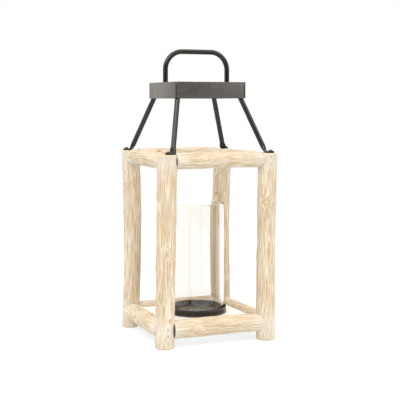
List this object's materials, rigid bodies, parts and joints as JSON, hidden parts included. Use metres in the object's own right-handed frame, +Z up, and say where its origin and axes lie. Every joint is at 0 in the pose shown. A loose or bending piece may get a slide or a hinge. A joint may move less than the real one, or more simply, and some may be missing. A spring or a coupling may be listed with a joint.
{
  "type": "hurricane candle lantern",
  "caption": "Square lantern frame of peeled logs with a board floor, round tray and open glass chimney, and a square steel band with a rod handle on leaning rod stays.",
  "frame": {"origin": "on the floor, at the middle of the four feet", "axes": "+Z up, -Y is the front, the handle runs along X"},
  "size_m": [0.195, 0.195, 0.454],
  "materials": {
    "whitewashed_log": "peeled softwood log, brushed whitewash, matt",
    "whitewashed_board": "planed softwood, whitewashed, matt",
    "black_sheet_steel": "black-brown lacquer, satin",
    "black_flat_bar": "blackened, satin lacquer",
    "black_rod": "blackened, satin lacquer",
    "black_screw": "blackened, satin",
    "zinc_screw": "zinc plated",
    "steel_brad": "bare wire, dulled",
    "clear_glass": "clear, fire polished rims"
  },
  "bodies": {
    "frame": {"post_front_left": "whitewashed_log", "post_front_right": "whitewashed_log", "post_back_left": "whitewashed_log", "post_back_right": "whitewashed_log", "top_rail_front": "whitewashed_log", "top_rail_back": "whitewashed_log", "top_rail_left": "whitewashed_log", "top_rail_right": "whitewashed_log", "bottom_rail_front": "whitewashed_log", "bottom_rail_back": "whitewashed_log", "bottom_rail_left": "whitewashed_log", "bottom_rail_right": "whitewashed_log", "platform_board": "whitewashed_board", "candle_tray": "black_sheet_steel", "tray_screw": "zinc_screw", "top_band": "black_flat_bar", "handle": "black_rod", "stay_front_left": "black_rod", "stay_front_right": "black_rod", "stay_back_left": "black_rod", "stay_back_right": "black_rod", "stay_screws": "black_screw", "top_rail_nails": "steel_brad", "bottom_rail_nails": "steel_brad", "board_nails": "steel_brad"},
    "chimney": {"glass_cylinder": "clear_glass"}
  },
  "joints": [
    {"name": "glass_lift", "type": "slide", "parent": "frame", "child": "chimney", "axis": [0, 0, 1], "range_m": [0, 0.055]}
  ]
}
